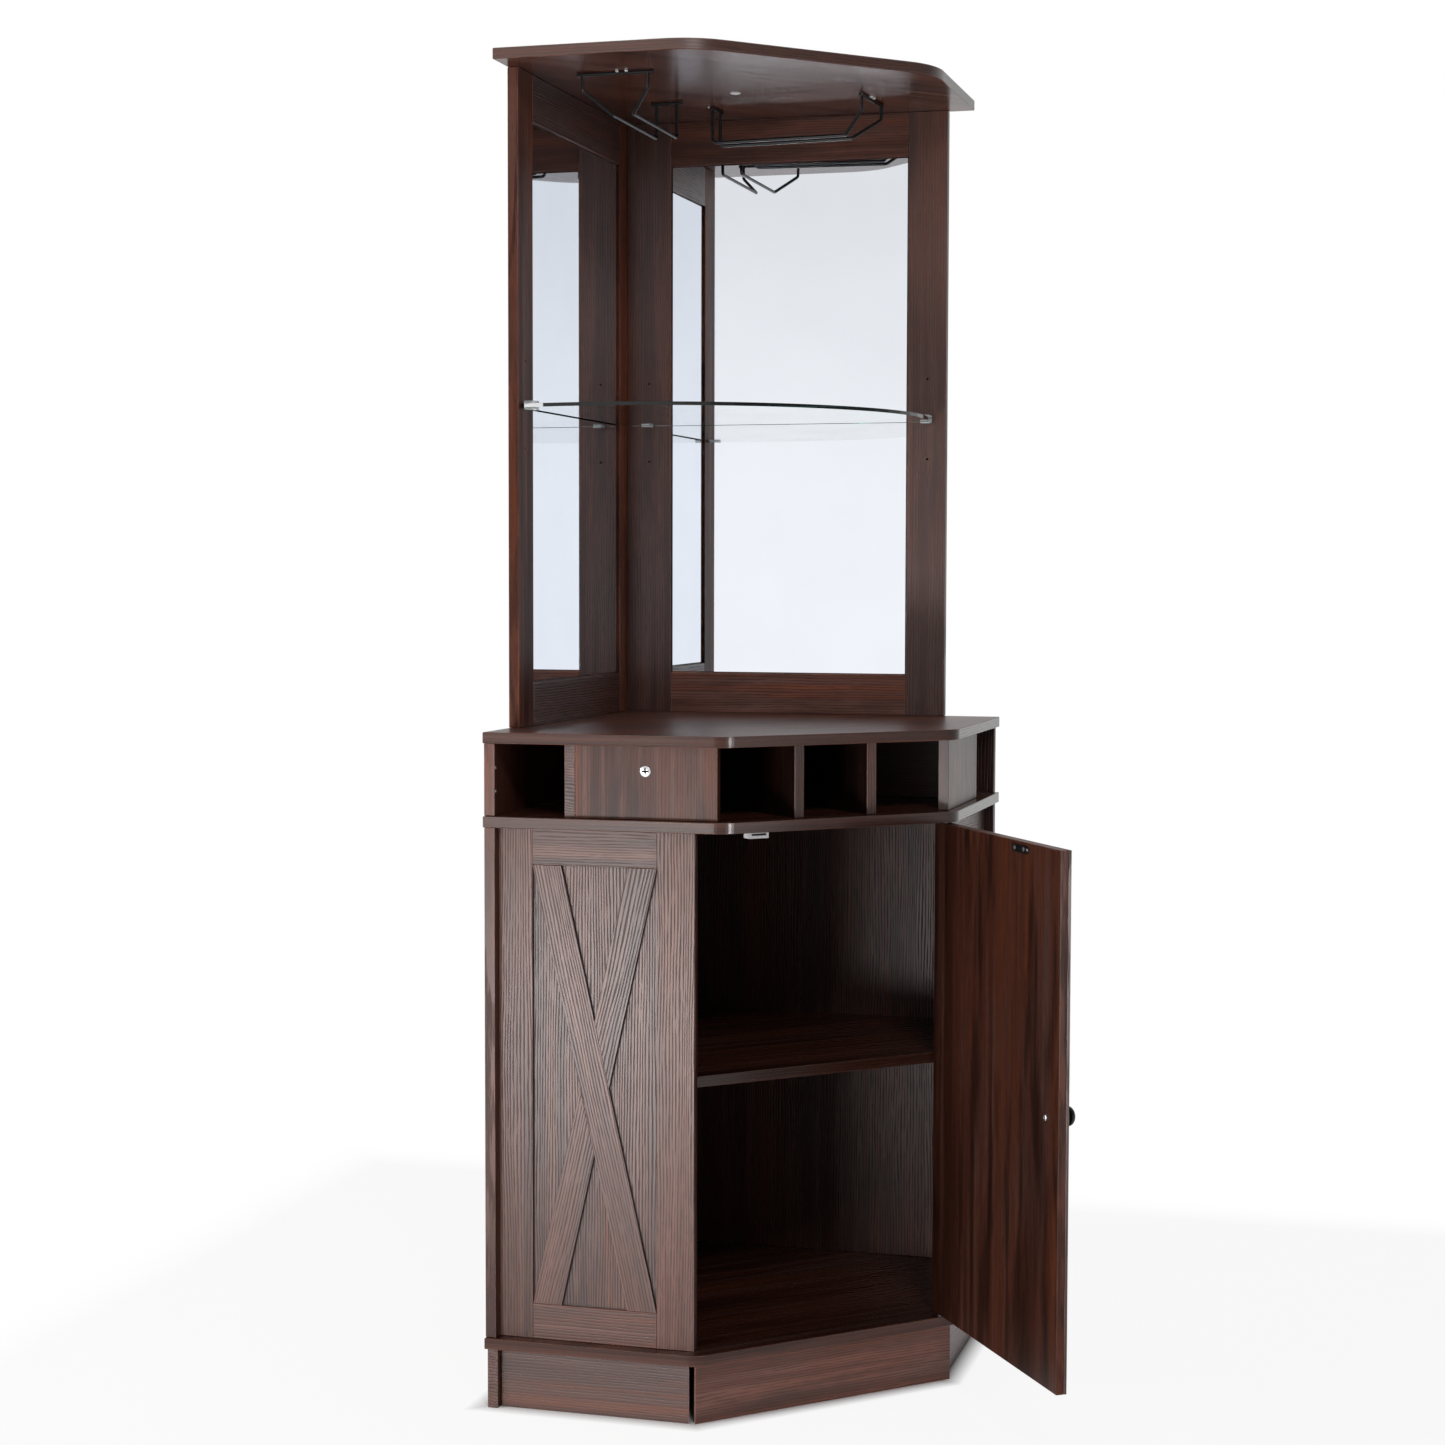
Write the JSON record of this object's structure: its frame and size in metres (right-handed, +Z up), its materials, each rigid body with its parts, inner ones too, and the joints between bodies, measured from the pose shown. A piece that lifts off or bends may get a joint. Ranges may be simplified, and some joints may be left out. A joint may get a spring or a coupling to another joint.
{
  "type": "corner bar cabinet",
  "caption": "Tall corner bar cabinet with a swinging door in its base, a bottle rack, and a mirrored hutch with a glass shelf and stemware racks.",
  "frame": {"origin": "on the cabinet's centre line, on the underside of the front kick board, halfway through its thickness", "axes": "+Z up; +X to the right for a person who faces the door, along the shut door; +Y from the door towards the room corner behind the cabinet"},
  "size_m": [0.8476, 1.0111, 1.85],
  "materials": {
    "dark_walnut_laminate": "dark brown wood-grain laminate, satin",
    "mirror": "silvered glass with a ground edge",
    "backing": "bare hardboard",
    "clear_glass": "clear polished glass with a dark green edge",
    "bright_steel": "bright plated steel",
    "black_metal": "black lacquered metal",
    "white_plastic": "plain white plastic"
  },
  "bodies": {
    "cabinet": {"base_back_left": "dark_walnut_laminate", "base_back_right": "dark_walnut_laminate", "base_shelf": "dark_walnut_laminate", "base_side_left": "dark_walnut_laminate", "base_side_right": "dark_walnut_laminate", "bottom_board": "dark_walnut_laminate", "catch_magnet": "black_metal", "counter_top": "dark_walnut_laminate", "door_pivot_lower": "bright_steel", "door_pivot_upper": "bright_steel", "glass_clip_corner": "bright_steel", "glass_clip_left": "bright_steel", "glass_clip_right": "bright_steel", "glass_shelf": "clear_glass", "hutch_left_bottom_rail": "dark_walnut_laminate", "hutch_left_corner_stile": "dark_walnut_laminate", "hutch_left_outer_stile": "dark_walnut_laminate", "hutch_left_top_rail": "dark_walnut_laminate", "hutch_right_bottom_rail": "dark_walnut_laminate", "hutch_right_corner_stile": "dark_walnut_laminate", "hutch_right_outer_stile": "dark_walnut_laminate", "hutch_right_top_rail": "dark_walnut_laminate", "kick_front": "dark_walnut_laminate", "kick_left": "dark_walnut_laminate", "kick_rear_left": "dark_walnut_laminate", "kick_rear_right": "dark_walnut_laminate", "kick_right": "dark_walnut_laminate", "magnetic_catch": "white_plastic", "mirror_backing_left": "backing", "mirror_backing_right": "backing", "mirror_left": "mirror", "mirror_right": "mirror", "rack_back_left": "dark_walnut_laminate", "rack_back_right": "dark_walnut_laminate", "rack_bottom_board": "dark_walnut_laminate", "rack_fascia_left": "dark_walnut_laminate", "rack_fascia_right": "dark_walnut_laminate", "rack_fascia_screw": "bright_steel", "rack_front_divider_left": "dark_walnut_laminate", "rack_front_divider_right": "dark_walnut_laminate", "rack_side_divider_left": "dark_walnut_laminate", "rack_side_divider_right": "dark_walnut_laminate", "shelf_pin_back_left": "bright_steel", "shelf_pin_back_right": "bright_steel", "shelf_pin_side_left": "bright_steel", "shelf_pin_side_right": "bright_steel", "side_left_braces": "dark_walnut_laminate", "side_left_frame": "dark_walnut_laminate", "side_right_braces": "dark_walnut_laminate", "side_right_frame": "dark_walnut_laminate", "stemware_rack_left": "black_metal", "stemware_rack_right": "black_metal", "top_board": "dark_walnut_laminate", "top_board_cap": "white_plastic"},
    "door": {"door_slab": "dark_walnut_laminate", "door_frame": "dark_walnut_laminate", "door_braces": "dark_walnut_laminate", "door_knob": "black_metal", "door_knob_screw": "bright_steel", "door_strike_plate": "black_metal"}
  },
  "joints": [
    {"name": "door_hinge", "type": "hinge", "parent": "cabinet", "child": "door", "pos_m": [0.1885, -0.01829, 0.45], "axis": [0, 0, 1], "range_deg": [-79.2, 25.8]}
  ]
}
